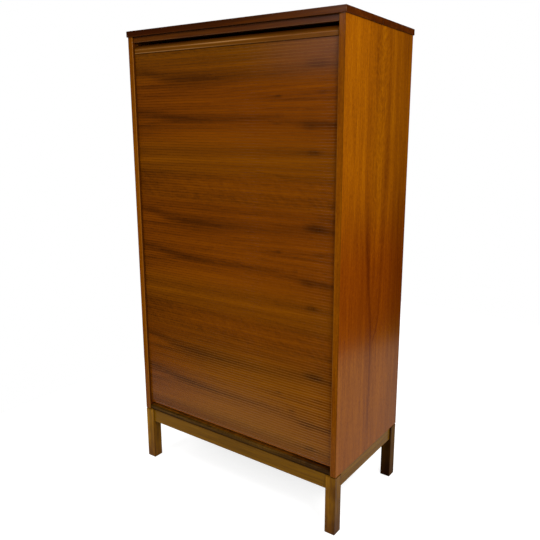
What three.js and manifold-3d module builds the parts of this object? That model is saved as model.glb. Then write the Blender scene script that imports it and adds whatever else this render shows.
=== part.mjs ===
// Tall tambour cabinet: a veneered carcass on a separate leg frame, closed by one vertical shutter of
// narrow slats. Millimetres, +Z up, +X to the right of someone facing the front, which looks along -Y.
// The origin is on the floor, under the middle of the cabinet.
import * as THREE from 'three';
import { mergeVertices } from 'three/addons/utils/BufferGeometryUtils.js';
import Module from 'manifold-3d';

const wasm = await Module();
wasm.setup();

// ---- Driving dimensions ----

// Carcass, measured over the side panels
const WIDTH = 800;
const DEPTH = 407;
const HEIGHT = 1480; // floor to the upper face of the top panel
const SIDE_THICKNESS = 19.5;
const SIDE_OUTER_EASE = 1.5; // small rounding on the outer front edge
const SIDE_INNER_EASE = 3; // rounding on the inner front edge
const BUTT_GAP = 0.2; // left between two pieces that butt together

// Top panel
const TOP_THICKNESS = 18;
const TOP_OVERHANG = 3.3;
const TOP_UPPER_EASE = 1;
const TOP_LOWER_ROUND = 6;

// Rail under the top panel, above the finger gap
const TOP_RAIL_HEIGHT = 17;
const TOP_RAIL_THICKNESS = 20;
const TOP_RAIL_SETBACK = 5.5;

// Bottom board, whose front edge shows as a ledge, and the raised floor inside
const CARCASS_LIFT = 190; // floor to the underside of the carcass
const BOTTOM_THICKNESS = 13;
const BOTTOM_SETBACK = 3.5;
const BOTTOM_ROUND = 4.5; // on the upper front edge, which shows as a ledge
const FLOOR_THICKNESS = 18;

// Back panel and the false back that hides the open shutter
const BACK_THICKNESS = 6;
const BACK_REBATE_WIDTH = 9.5;
const FALSE_BACK_THICKNESS = 8;

// Shutter: slats glued to canvas, in a track routed into both side panels
const CURTAIN_SETBACK = 9; // slat faces behind the side panels' front edges
const SLAT_THICKNESS = 5;
const SLAT_GAP = 0.4;
const SLAT_CHAMFER = 0.5;
const CANVAS_THICKNESS = 1;
const SECTION_COUNT = 24;
const SLATS_PER_SECTION = 6;
const SECTION_GAP = 0.2;
const BEND_RADIUS = 20; // to the slat faces
const CURTAIN_CLEARANCE = 1.5; // between the shutter and the fixed boards that it passes
const REAR_CLEARANCE = 6; // slat faces to the back panel
const TRACK_DEPTH = 8;
const TRACK_CLEARANCE = 0.8; // on each face of the shutter
const TRACK_END_PLAY = 1.5; // slat ends to the bottom of the track
const TRACK_SPARE = 25; // track left beyond the last slat when the shutter is open

// Lead rail at the shutter's upper edge
const LEAD_HEIGHT = 25;
const LEAD_THICKNESS = 14;
const LEAD_SETBACK = 5.5;
const LEAD_LIP_HEIGHT = 12; // upright front face below the sloping finger pull
const LEAD_SLOPE_DEPTH = 9;
const LEAD_END_GAP = 3;
const LEAD_TONGUE_HEIGHT = 20;
const LEAD_STOP_GAP = 0.5;
const FINGER_GAP = 9;

// Shelves on bent-wire supports
const SHELF_COUNT = 3;
const SHELF_THICKNESS = 18;
const SHELF_SETBACK = 24;
const SHELF_SIDE_GAP = 1;
const SHELF_BACK_GAP = 1;
const WIRE_DIAMETER = 3;
const WIRE_OFFSET = 4.5; // wire centre to the side panel
const WIRE_INSET = 40; // holes behind the shelf's front and before its back
const WIRE_SEAT_GAP = 0.1;
const HOLE_CLEARANCE = 0.3;
const HOLE_DEPTH = 10;
const HOLE_PITCH = 32;
const SPARE_HOLES = 1; // spare pairs above and below each shelf

// Leg frame
const LEG_WIDTH = 34.5;
const LEG_FOOT_CHAMFER = 1.5;
const LEG_EASE = 1.2; // on the upright edges
const FRAME_SHADOW_GAP = 3.5; // between the leg frame and the carcass
const APRON_HEIGHT = 45;
const APRON_THICKNESS = 20;
const APRON_SETBACK = 5.5;
const BLOCK_REACH = 75; // corner block along each apron
const BLOCK_HEIGHT = 42;

// Smoothness of round stretches, and how far a cutter reaches past the face that it enters
const ARC_STEPS = 6;
const BEND_STEPS = 18;
const WIRE_SIDES = 10;
const CUTTER_OVERRUN = 1;

// ---- Places worked out from the sizes ----

const HALF_WIDTH = WIDTH / 2;
const HALF_DEPTH = DEPTH / 2;
const FRONT = -HALF_DEPTH;
const BACK = HALF_DEPTH;
const INNER_X = HALF_WIDTH - SIDE_THICKNESS;
const BETWEEN_SIDES = INNER_X - BUTT_GAP;

const TOP_UNDERSIDE = HEIGHT - TOP_THICKNESS;
const TOP_RAIL_UNDERSIDE = TOP_UNDERSIDE - TOP_RAIL_HEIGHT;
const BOTTOM_TOP = CARCASS_LIFT + BOTTOM_THICKNESS;
const REBATE_FRONT = BACK - BACK_THICKNESS - BUTT_GAP;

const CURTAIN_THICKNESS = SLAT_THICKNESS + CANVAS_THICKNESS;
const CURTAIN_FACE = FRONT + CURTAIN_SETBACK;
const REAR_FACE = BACK - BACK_THICKNESS - REAR_CLEARANCE;
const CURTAIN_HALF_LENGTH = INNER_X + TRACK_DEPTH - TRACK_END_PLAY;
const BEND_Z = BOTTOM_TOP + CURTAIN_CLEARANCE + BEND_RADIUS;
const FRONT_BEND_Y = CURTAIN_FACE + BEND_RADIUS;
const REAR_BEND_Y = REAR_FACE - BEND_RADIUS;
const NOSING_RADIUS = BEND_RADIUS - CURTAIN_THICKNESS - CURTAIN_CLEARANCE;
const GLUE_RADIUS = BEND_RADIUS - SLAT_THICKNESS;
const BEND_LENGTH = (Math.PI / 2) * GLUE_RADIUS;

const FLOOR_UNDERSIDE = BEND_Z - NOSING_RADIUS;
const FLOOR_TOP = FLOOR_UNDERSIDE + FLOOR_THICKNESS;
const FALSE_BACK_REAR = REAR_BEND_Y + NOSING_RADIUS;
const FALSE_BACK_FRONT = FALSE_BACK_REAR - FALSE_BACK_THICKNESS;

const LEAD_TOP = TOP_RAIL_UNDERSIDE - FINGER_GAP;
const LEAD_BOTTOM = LEAD_TOP - LEAD_HEIGHT;
const LEAD_FRONT = FRONT + LEAD_SETBACK;
const LEAD_BACK = LEAD_FRONT + LEAD_THICKNESS;
const LEAD_TRAVEL = LEAD_BOTTOM - FLOOR_TOP - CURTAIN_CLEARANCE;
const SECTION_HEIGHT = (LEAD_BOTTOM - BEND_Z) / SECTION_COUNT;
const SLAT_PITCH = SECTION_HEIGHT / SLATS_PER_SECTION;

const TRACK_TOP = LEAD_BOTTOM + LEAD_TONGUE_HEIGHT + LEAD_STOP_GAP;
const FLAT_RUN = REAR_BEND_Y - FRONT_BEND_Y;
const REAR_RISE = SECTION_HEIGHT + LEAD_TRAVEL - 2 * BEND_LENGTH - FLAT_RUN;
const TRACK_REAR_TOP = BEND_Z + REAR_RISE + TRACK_SPARE;

const SHELF_FRONT = FRONT + SHELF_SETBACK;
const SHELF_REAR = FALSE_BACK_FRONT - SHELF_BACK_GAP;
const INSIDE_HEIGHT = TOP_UNDERSIDE - FLOOR_TOP;
const BAY_HEIGHT = (INSIDE_HEIGHT - SHELF_COUNT * SHELF_THICKNESS) / (SHELF_COUNT + 1);

const FRAME_TOP = CARCASS_LIFT - FRAME_SHADOW_GAP;
const APRON_INNER = APRON_SETBACK + APRON_THICKNESS;

// ---- Materials ----

const wood = (color, roughness) => new THREE.MeshStandardMaterial({ color, roughness, metalness: 0 });
const topTeak = () => wood('#4b2611', 0.42);
const sideTeak = () => wood('#9c5c17', 0.42);
const railTeak = () => wood('#6d4019', 0.45);
const shutterTeak = () => wood('#70431a', 0.45);
const ledgeWood = () => wood('#4c3419', 0.6);
const frameWood = () => wood('#74531f', 0.5);
const insideVeneer = () => wood('#9a6a35', 0.55);
const backPly = () => wood('#8b6a42', 0.7);
const blockWood = () => wood('#a9865a', 0.75);
const wireSteel = () => new THREE.MeshStandardMaterial({ color: '#9b9a94', roughness: 0.35, metalness: 0.9 });

// ---- Shape helpers ----

const AXIS_X = new THREE.Vector3(1, 0, 0);
const AXIS_Y = new THREE.Vector3(0, 1, 0);
const AXIS_Z = new THREE.Vector3(0, 0, 1);

function extrude(shape, length) {
  return new THREE.ExtrudeGeometry(shape, { depth: length, bevelEnabled: false, curveSegments: ARC_STEPS });
}

// A shape drawn in Y and Z, running from x0 to x1
function extrudeAlongX(shape, x0, x1) {
  const geometry = extrude(shape, x1 - x0);
  geometry.applyMatrix4(new THREE.Matrix4().makeBasis(AXIS_Y, AXIS_Z, AXIS_X));
  return geometry.translate(x0, 0, 0);
}

// A shape drawn in X and Z, running from y0 to y1
function extrudeAlongY(shape, y0, y1) {
  const geometry = extrude(shape, y1 - y0);
  geometry.applyMatrix4(new THREE.Matrix4().makeBasis(AXIS_X, AXIS_Z, AXIS_Y.clone().negate()));
  return geometry.translate(0, y1, 0);
}

// A shape drawn in X and Y, running from z0 to z1
function extrudeAlongZ(shape, z0, z1) {
  return extrude(shape, z1 - z0).translate(0, 0, z0);
}

function rectangle(a0, a1, b0, b1) {
  return new THREE.Shape([
    new THREE.Vector2(a0, b0),
    new THREE.Vector2(a1, b0),
    new THREE.Vector2(a1, b1),
    new THREE.Vector2(a0, b1),
  ]);
}

// Closed geometry to a solid that can be cut and joined, and back
function toSolid(geometry) {
  const bare = geometry.index ? geometry.toNonIndexed() : geometry.clone();
  bare.deleteAttribute('normal');
  bare.deleteAttribute('uv');
  const merged = mergeVertices(bare, 1e-4);
  return new wasm.Manifold(
    new wasm.Mesh({
      numProp: 3,
      vertProperties: new Float32Array(merged.attributes.position.array),
      triVerts: new Uint32Array(merged.index.array),
    }),
  );
}

function toGeometry(solid) {
  const mesh = solid.getMesh();
  const geometry = new THREE.BufferGeometry();
  geometry.setAttribute('position', new THREE.BufferAttribute(mesh.vertProperties, mesh.numProp));
  geometry.setIndex(new THREE.BufferAttribute(mesh.triVerts, 1));
  geometry.computeVertexNormals();
  return geometry;
}

function cutAway(geometry, cutters) {
  const result = cutters.reduce((solid, cutter) => solid.subtract(toSolid(cutter)), toSolid(geometry));
  return toGeometry(result);
}

function join(first, ...others) {
  const result = others.reduce((solid, other) => solid.add(toSolid(other)), toSolid(first));
  return toGeometry(result);
}

const cabinet = new THREE.Group();

function add(name, geometry, material) {
  const mesh = new THREE.Mesh(geometry, material);
  mesh.name = name;
  cabinet.add(mesh);
  return mesh;
}

// A plain board between three pairs of faces
function addBoard(name, [x0, x1], [y0, y1], [z0, z1], material) {
  const board = add(name, new THREE.BoxGeometry(x1 - x0, y1 - y0, z1 - z0), material);
  board.position.set((x0 + x1) / 2, (y0 + y1) / 2, (z0 + z1) / 2);
}

// ---- Top panel: eased upper edges, lower edges rounded all the way round ----

function topPanelOutline(halfSpan) {
  const upper = TOP_UPPER_EASE;
  const lower = TOP_LOWER_ROUND;
  const shape = new THREE.Shape();
  shape.moveTo(-halfSpan + lower, TOP_UNDERSIDE);
  shape.lineTo(halfSpan - lower, TOP_UNDERSIDE);
  shape.absarc(halfSpan - lower, TOP_UNDERSIDE + lower, lower, -Math.PI / 2, 0);
  shape.lineTo(halfSpan, HEIGHT - upper);
  shape.lineTo(halfSpan - upper, HEIGHT);
  shape.lineTo(-halfSpan + upper, HEIGHT);
  shape.lineTo(-halfSpan, HEIGHT - upper);
  shape.lineTo(-halfSpan, TOP_UNDERSIDE + lower);
  shape.absarc(-halfSpan + lower, TOP_UNDERSIDE + lower, lower, Math.PI, Math.PI * 1.5);
  return shape;
}

function addTopPanel() {
  const halfX = HALF_WIDTH + TOP_OVERHANG;
  const halfY = HALF_DEPTH + TOP_OVERHANG;
  const across = toSolid(extrudeAlongY(topPanelOutline(halfX), -halfY, halfY));
  const along = toSolid(extrudeAlongX(topPanelOutline(halfY), -halfX, halfX));
  add('top_panel', toGeometry(across.intersect(along)), topTeak());
}

// ---- Side panels: eased front edge, rebate for the back, routed track, holes for shelf wires ----

function sidePanelOutline(side) {
  const shape = new THREE.Shape();
  const rebateX = INNER_X + BACK_REBATE_WIDTH;
  const easedOuter = HALF_WIDTH - SIDE_OUTER_EASE;
  const easedInner = INNER_X + SIDE_INNER_EASE;
  shape.moveTo(side * INNER_X, REBATE_FRONT);
  shape.lineTo(side * INNER_X, FRONT + SIDE_INNER_EASE);
  shape.quadraticCurveTo(side * INNER_X, FRONT, side * easedInner, FRONT);
  shape.lineTo(side * easedOuter, FRONT);
  shape.quadraticCurveTo(side * HALF_WIDTH, FRONT, side * HALF_WIDTH, FRONT + SIDE_OUTER_EASE);
  shape.lineTo(side * HALF_WIDTH, BACK);
  shape.lineTo(side * rebateX, BACK);
  shape.lineTo(side * rebateX, REBATE_FRONT);
  return shape;
}

// The track runs down behind the front edge, round the bottom, under the raised floor, and up the back.
function trackOutline() {
  const near = CURTAIN_FACE - TRACK_CLEARANCE;
  const nearInner = CURTAIN_FACE + CURTAIN_THICKNESS + TRACK_CLEARANCE;
  const far = REAR_FACE + TRACK_CLEARANCE;
  const farInner = REAR_FACE - CURTAIN_THICKNESS - TRACK_CLEARANCE;
  const outer = BEND_RADIUS + TRACK_CLEARANCE;
  const inner = BEND_RADIUS - CURTAIN_THICKNESS - TRACK_CLEARANCE;
  const shape = new THREE.Shape();
  shape.moveTo(near, TRACK_TOP);
  shape.lineTo(near, BEND_Z);
  shape.absarc(FRONT_BEND_Y, BEND_Z, outer, Math.PI, Math.PI * 1.5, false);
  shape.absarc(REAR_BEND_Y, BEND_Z, outer, -Math.PI / 2, 0, false);
  shape.lineTo(far, TRACK_REAR_TOP);
  shape.lineTo(farInner, TRACK_REAR_TOP);
  shape.absarc(REAR_BEND_Y, BEND_Z, inner, 0, -Math.PI / 2, true);
  shape.absarc(FRONT_BEND_Y, BEND_Z, inner, -Math.PI / 2, -Math.PI, true);
  shape.lineTo(nearInner, TRACK_TOP);
  return shape;
}

// Underside of shelf number index, counted from the lowest
function shelfUnderside(index) {
  return FLOOR_TOP + (index + 1) * BAY_HEIGHT + index * SHELF_THICKNESS;
}

const wireHeight = (index) => shelfUnderside(index) - WIRE_SEAT_GAP - WIRE_DIAMETER / 2;
const wireEnds = [SHELF_FRONT + WIRE_INSET, SHELF_REAR - WIRE_INSET];

// A round bar along X between two places
function barAlongX(radius, x0, x1, y, z) {
  const bar = new THREE.CylinderGeometry(radius, radius, Math.abs(x1 - x0), WIRE_SIDES);
  bar.rotateZ(Math.PI / 2);
  return bar.translate((x0 + x1) / 2, y, z);
}

function wireHoles(side) {
  const radius = WIRE_DIAMETER / 2 + HOLE_CLEARANCE;
  const mouth = side * (INNER_X - CUTTER_OVERRUN);
  const bottom = side * (INNER_X + HOLE_DEPTH);
  const holes = [];
  for (let index = 0; index < SHELF_COUNT; index += 1) {
    for (let step = -SPARE_HOLES; step <= SPARE_HOLES; step += 1) {
      const height = wireHeight(index) + step * HOLE_PITCH;
      for (const y of wireEnds) {
        holes.push(barAlongX(radius, mouth, bottom, y, height));
      }
    }
  }
  return holes;
}

function addSidePanel(side, name) {
  const panel = extrudeAlongZ(sidePanelOutline(side), CARCASS_LIFT, TOP_UNDERSIDE - BUTT_GAP);
  const trackEnds = [side * (INNER_X - CUTTER_OVERRUN), side * (INNER_X + TRACK_DEPTH)];
  trackEnds.sort((a, b) => a - b);
  const track = extrudeAlongX(trackOutline(), ...trackEnds);
  add(name, cutAway(panel, [track, ...wireHoles(side)]), sideTeak());
}

// ---- Fixed boards between the sides ----

function addTopRail() {
  const y0 = FRONT + TOP_RAIL_SETBACK;
  const span = [-BETWEEN_SIDES, BETWEEN_SIDES];
  const heights = [TOP_RAIL_UNDERSIDE, TOP_UNDERSIDE - BUTT_GAP];
  addBoard('top_front_rail', span, [y0, y0 + TOP_RAIL_THICKNESS], heights, railTeak());
}

function addBottomBoard() {
  const front = FRONT + BOTTOM_SETBACK;
  const shape = new THREE.Shape();
  shape.moveTo(front, CARCASS_LIFT);
  shape.lineTo(REBATE_FRONT, CARCASS_LIFT);
  shape.lineTo(REBATE_FRONT, BOTTOM_TOP);
  shape.lineTo(front + BOTTOM_ROUND, BOTTOM_TOP);
  shape.absarc(front + BOTTOM_ROUND, BOTTOM_TOP - BOTTOM_ROUND, BOTTOM_ROUND, Math.PI / 2, Math.PI);
  add('bottom_board', extrudeAlongX(shape, -BETWEEN_SIDES, BETWEEN_SIDES), ledgeWood());
}

function addBackPanel() {
  const halfSpan = INNER_X + BACK_REBATE_WIDTH - BUTT_GAP;
  const heights = [CARCASS_LIFT, TOP_UNDERSIDE - BUTT_GAP];
  addBoard('back_panel', [-halfSpan, halfSpan], [BACK - BACK_THICKNESS, BACK], heights, backPly());
}

// The raised floor's lower front and back edges are rounded, so that the shutter passes under it.
function addInnerFloor() {
  const shape = new THREE.Shape();
  shape.moveTo(FALSE_BACK_REAR, FLOOR_TOP);
  shape.lineTo(FRONT_BEND_Y - NOSING_RADIUS, FLOOR_TOP);
  shape.lineTo(FRONT_BEND_Y - NOSING_RADIUS, BEND_Z);
  shape.absarc(FRONT_BEND_Y, BEND_Z, NOSING_RADIUS, Math.PI, Math.PI * 1.5, false);
  shape.absarc(REAR_BEND_Y, BEND_Z, NOSING_RADIUS, -Math.PI / 2, 0, false);
  add('inner_floor', extrudeAlongX(shape, -BETWEEN_SIDES, BETWEEN_SIDES), insideVeneer());
}

function addFalseBack() {
  const span = [-BETWEEN_SIDES, BETWEEN_SIDES];
  const heights = [FLOOR_TOP + BUTT_GAP, TOP_UNDERSIDE - BUTT_GAP];
  addBoard('false_back', span, [FALSE_BACK_FRONT, FALSE_BACK_REAR], heights, insideVeneer());
}

// ---- Shelves, each on two bent wires whose ends turn into holes in the side panels ----

function addShelf(index) {
  const halfSpan = INNER_X - SHELF_SIDE_GAP;
  const z0 = shelfUnderside(index);
  const depths = [SHELF_FRONT, SHELF_REAR];
  addBoard(`shelf_${index + 1}`, [-halfSpan, halfSpan], depths, [z0, z0 + SHELF_THICKNESS], insideVeneer());
}

function addShelfWire(index, side, name) {
  const radius = WIRE_DIAMETER / 2;
  const runX = side * (INNER_X - WIRE_OFFSET);
  const tipX = side * (INNER_X + HOLE_DEPTH - HOLE_CLEARANCE);
  const z = wireHeight(index);
  const [y0, y1] = wireEnds;
  const run = new THREE.CylinderGeometry(radius, radius, y1 - y0, WIRE_SIDES);
  run.translate(runX, (y0 + y1) / 2, z);
  const pieces = [];
  for (const y of wireEnds) {
    pieces.push(new THREE.SphereGeometry(radius, WIRE_SIDES, ARC_STEPS).translate(runX, y, z));
    pieces.push(barAlongX(radius, runX, tipX, y, z));
  }
  add(name, join(run, ...pieces), wireSteel());
}

// ---- Lead rail: an upright lip under a sloping finger pull, with tongues that run in the track ----

function addLeadRail() {
  const body = new THREE.Shape();
  body.moveTo(LEAD_FRONT, LEAD_BOTTOM);
  body.lineTo(LEAD_BACK, LEAD_BOTTOM);
  body.lineTo(LEAD_BACK, LEAD_TOP);
  body.lineTo(LEAD_FRONT + LEAD_SLOPE_DEPTH, LEAD_TOP);
  body.lineTo(LEAD_FRONT, LEAD_BOTTOM + LEAD_LIP_HEIGHT);
  const bodyHalf = INNER_X - LEAD_END_GAP;
  const tongue = rectangle(
    CURTAIN_FACE,
    CURTAIN_FACE + CURTAIN_THICKNESS,
    LEAD_BOTTOM,
    LEAD_BOTTOM + LEAD_TONGUE_HEIGHT,
  );
  const bar = extrudeAlongX(body, -bodyHalf, bodyHalf);
  const tongues = extrudeAlongX(tongue, -CURTAIN_HALF_LENGTH, CURTAIN_HALF_LENGTH);
  add('tambour_lead_rail', join(bar, tongues), railTeak());
}

// ---- Shutter sections: a few slats each, joined by their canvas ----

// Place on the glued face of the canvas, and the way that the slats face there, a distance along the
// shutter from the start of the front bend. It turns under the floor and runs towards the back.
function alongCanvas(distance) {
  if (distance <= 0) {
    const start = new THREE.Vector2(CURTAIN_FACE + SLAT_THICKNESS, BEND_Z - distance);
    return { point: start, facing: new THREE.Vector2(-1, 0) };
  }
  const angle = Math.min(distance / GLUE_RADIUS, Math.PI / 2);
  const facing = new THREE.Vector2(-Math.cos(angle), -Math.sin(angle));
  const beyond = Math.max(distance - BEND_LENGTH, 0);
  const centre = new THREE.Vector2(FRONT_BEND_Y + beyond, BEND_Z);
  return { point: centre.addScaledVector(facing, GLUE_RADIUS), facing };
}

// Six points round one slat, from one edge on the canvas over its chamfered face to the other edge
function slatPoints(centreDistance) {
  const half = (SLAT_PITCH - SLAT_GAP) / 2;
  const { point, facing } = alongCanvas(centreDistance);
  const onward = new THREE.Vector2(-facing.y, facing.x);
  const corner = (lengthwise, out) =>
    point.clone().addScaledVector(onward, lengthwise).addScaledVector(facing, out);
  return [
    alongCanvas(centreDistance - half).point,
    corner(-half, SLAT_THICKNESS - SLAT_CHAMFER),
    corner(-half + SLAT_CHAMFER, SLAT_THICKNESS),
    corner(half - SLAT_CHAMFER, SLAT_THICKNESS),
    corner(half, SLAT_THICKNESS - SLAT_CHAMFER),
    alongCanvas(centreDistance + half).point,
  ];
}

// A stretch of shutter between two distances, as one closed outline of slats and canvas
function curtainOutline(start, end) {
  const points = [alongCanvas(start + SECTION_GAP / 2).point];
  for (let index = 0; index < SLATS_PER_SECTION; index += 1) {
    points.push(...slatPoints(start + (index + 0.5) * SLAT_PITCH));
  }
  points.push(alongCanvas(end - SECTION_GAP / 2).point);
  const backSteps = start < 0 ? 1 : BEND_STEPS;
  for (let step = backSteps; step >= 0; step -= 1) {
    const distance = THREE.MathUtils.lerp(start + SECTION_GAP / 2, end - SECTION_GAP / 2, step / backSteps);
    const { point, facing } = alongCanvas(distance);
    points.push(point.clone().addScaledVector(facing, -CANVAS_THICKNESS));
  }
  return new THREE.Shape(points);
}

function addCurtain(name, start) {
  const outline = curtainOutline(start, start + SECTION_HEIGHT);
  add(name, extrudeAlongX(outline, -CURTAIN_HALF_LENGTH, CURTAIN_HALF_LENGTH), shutterTeak());
}

// ---- Leg frame ----

function addLeg(sideX, sideY, name) {
  const ease = LEG_FOOT_CHAMFER;
  const outline = (half) => {
    const shape = new THREE.Shape();
    shape.moveTo(-half + ease, 0);
    shape.lineTo(half - ease, 0);
    shape.lineTo(half, ease);
    shape.lineTo(half, FRAME_TOP);
    shape.lineTo(-half, FRAME_TOP);
    shape.lineTo(-half, ease);
    return shape;
  };
  const half = LEG_WIDTH / 2;
  const eased = half - LEG_EASE;
  const plan = [
    [-eased, -half], [eased, -half], [half, -eased], [half, eased],
    [eased, half], [-eased, half], [-half, eased], [-half, -eased],
  ].map(([x, y]) => new THREE.Vector2(x, y));
  const across = toSolid(extrudeAlongY(outline(half), -half, half));
  const along = toSolid(extrudeAlongX(outline(half), -half, half));
  const upright = toSolid(extrudeAlongZ(new THREE.Shape(plan), 0, FRAME_TOP));
  const leg = add(name, toGeometry(across.intersect(along).intersect(upright)), frameWood());
  leg.position.set(sideX * (HALF_WIDTH - half), sideY * (HALF_DEPTH - half), 0);
}

function addAprons() {
  const heights = [FRAME_TOP - APRON_HEIGHT, FRAME_TOP];
  const endX = HALF_WIDTH - LEG_WIDTH - BUTT_GAP;
  const endY = HALF_DEPTH - LEG_WIDTH - BUTT_GAP;
  const nearX = HALF_WIDTH - APRON_INNER;
  const nearY = HALF_DEPTH - APRON_INNER;
  const farX = HALF_WIDTH - APRON_SETBACK;
  const farY = HALF_DEPTH - APRON_SETBACK;
  addBoard('apron_front', [-endX, endX], [-farY, -nearY], heights, frameWood());
  addBoard('apron_back', [-endX, endX], [nearY, farY], heights, frameWood());
  addBoard('apron_left', [-farX, -nearX], [-endY, endY], heights, frameWood());
  addBoard('apron_right', [nearX, farX], [-endY, endY], heights, frameWood());
}

// A block in each corner of the frame, notched round the leg; the carcass stands on the four of them.
function addCornerBlock(sideX, sideY, name) {
  const alongApron = APRON_INNER + BUTT_GAP;
  const besideLeg = LEG_WIDTH + BUTT_GAP;
  const reach = APRON_INNER + BLOCK_REACH;
  const corners = [
    [besideLeg, alongApron],
    [reach, alongApron],
    [alongApron, reach],
    [alongApron, besideLeg],
    [besideLeg, besideLeg],
  ];
  const outline = corners.map(
    ([inX, inY]) => new THREE.Vector2(sideX * (HALF_WIDTH - inX), sideY * (HALF_DEPTH - inY)),
  );
  const top = CARCASS_LIFT - BUTT_GAP;
  add(name, extrudeAlongZ(new THREE.Shape(outline), top - BLOCK_HEIGHT, top), blockWood());
}

// ---- Assembly ----

addTopPanel();
addSidePanel(-1, 'side_panel_left');
addSidePanel(1, 'side_panel_right');
addTopRail();
addBottomBoard();
addBackPanel();
addInnerFloor();
addFalseBack();

for (let index = 0; index < SHELF_COUNT; index += 1) {
  addShelf(index);
  addShelfWire(index, -1, `shelf_wire_${index + 1}_left`);
  addShelfWire(index, 1, `shelf_wire_${index + 1}_right`);
}

addLeadRail();
for (let index = 0; index < SECTION_COUNT; index += 1) {
  const number = String(index + 1).padStart(2, '0');
  addCurtain(`tambour_section_${number}`, -(index + 1) * SECTION_HEIGHT);
}
addCurtain('tambour_bend', 0);

for (const [sideY, depthName] of [[-1, 'front'], [1, 'back']]) {
  for (const [sideX, widthName] of [[-1, 'left'], [1, 'right']]) {
    addLeg(sideX, sideY, `leg_${depthName}_${widthName}`);
    addCornerBlock(sideX, sideY, `corner_block_${depthName}_${widthName}`);
  }
}
addAprons();

export default cabinet;
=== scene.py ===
import bmesh
import bpy
from math import pi, radians
from mathutils import Matrix, Vector


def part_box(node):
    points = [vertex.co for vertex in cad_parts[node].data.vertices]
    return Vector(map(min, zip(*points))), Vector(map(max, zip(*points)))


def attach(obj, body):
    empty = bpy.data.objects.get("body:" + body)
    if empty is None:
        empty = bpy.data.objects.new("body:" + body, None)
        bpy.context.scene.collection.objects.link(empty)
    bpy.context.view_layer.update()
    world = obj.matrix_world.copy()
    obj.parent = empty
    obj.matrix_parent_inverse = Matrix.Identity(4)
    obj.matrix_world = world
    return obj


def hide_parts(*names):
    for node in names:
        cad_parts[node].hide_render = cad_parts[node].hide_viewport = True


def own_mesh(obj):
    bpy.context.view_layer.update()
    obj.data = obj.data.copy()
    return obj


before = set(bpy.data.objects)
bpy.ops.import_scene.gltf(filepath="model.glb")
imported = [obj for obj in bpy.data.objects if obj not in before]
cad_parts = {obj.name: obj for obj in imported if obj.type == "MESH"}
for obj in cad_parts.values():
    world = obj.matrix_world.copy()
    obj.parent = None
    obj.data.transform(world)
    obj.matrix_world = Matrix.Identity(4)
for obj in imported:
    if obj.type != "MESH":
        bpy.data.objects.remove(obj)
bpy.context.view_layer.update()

# Leg frame: four square legs of solid hardwood stand flush with the corners of the cabinet, and four rails
# join them, set back from the legs' outer faces. It is oiled, and browner than the teak above. Triangular
# blocks are glued and screwed into the corners, and the cabinet stands on them.


def is_socket(value):
    """Whether a value comes from another node."""
    return isinstance(value, bpy.types.NodeSocket)


def feed(socket, value):
    """Links a socket, or sets it where the value is a plain one."""
    if is_socket(value):
        socket.id_data.links.new(value, socket)
    else:
        socket.default_value = value


def lay_node(tree, kind, *values, **settings):
    """Adds a shader node to a tree, gives it its settings and feeds its inputs in their order."""
    node = tree.nodes.new(f"ShaderNode{kind}")
    for name, value in settings.items():
        setattr(node, name, value)
    for socket, value in zip(node.inputs, values):
        feed(socket, value)
    return node


def tree_of(*values):
    """The tree that the sockets among some values belong to."""
    return next(value.id_data for value in values if is_socket(value))


def reckon(operation, *values):
    """A math node; its answer's socket comes back."""
    return lay_node(tree_of(*values), "Math", *values, operation=operation).outputs[0]


def times(first, second):
    """One value times another."""
    return reckon("MULTIPLY", first, second)


def add_share(value, share, base):
    """A base with a share of a value added to it."""
    return reckon("MULTIPLY_ADD", value, share, base)


def minus(first, second):
    """One value less another."""
    return reckon("SUBTRACT", first, second)


def work_vectors(operation, *values):
    """A vector math node; its answer's socket comes back."""
    return lay_node(tree_of(*values), "VectorMath", *values, operation=operation).outputs[0]


def split(vector):
    """The three numbers of a vector."""
    return lay_node(vector.id_data, "SeparateXYZ", vector).outputs


def join(*numbers):
    """A vector made of up to three numbers."""
    return lay_node(tree_of(*numbers), "CombineXYZ", *numbers).outputs[0]


def read_place(tree):
    """The piece's own coordinates in metres, whole and then one by one."""
    place = lay_node(tree, "TexCoord").outputs["Object"]
    return place, *split(place)


def ease_between(value, start, end, low=0, high=1, way="SMOOTHSTEP"):
    """A step from low to high as the value goes from start to end, smooth unless another way is given."""
    given = value, start, end, low, high
    return lay_node(value.id_data, "MapRange", *given, interpolation_type=way).outputs[0]


def fade_between(value, start, end):
    """A smooth step down from 1 to 0 as the value goes from start to end."""
    return ease_between(value, start, end, 1, 0)


def blend_colours(amount, first, second, way="MIX"):
    """Mixes two colours by an amount."""
    tree = tree_of(amount, first, second)
    node = lay_node(tree, "Mix", amount, data_type="RGBA", blend_type=way)
    for socket, colour in zip(node.inputs[6:8], (first, second)):
        feed(socket, (*colour, 1) if isinstance(colour, tuple) else colour)
    return node.outputs[2]


def stain_by(amount, colour, stain):
    """Multiplies a colour by a stain, by an amount."""
    return blend_colours(amount, colour, stain, "MULTIPLY")


CLEAR = (1, 1, 1)


def stain_between(colour, value, start, end, first, second=CLEAR):
    """Multiplies a colour by a stain that changes smoothly from one place to another."""
    return stain_by(1, colour, blend_colours(ease_between(value, start, end), first, second))


def stretched_noise(position, scale, detail=2, roughness=0.5):
    """Noise drawn out along the grain; it runs from about -0.5 to 0.5."""
    drawn_out = work_vectors("MULTIPLY", position, scale)
    noise = lay_node(position.id_data, "TexNoise", drawn_out)
    for name, value in (("Scale", 1), ("Detail", detail), ("Roughness", roughness)):
        feed(noise.inputs[name], value)
    return minus(noise.outputs["Fac"], 0.5)


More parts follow.
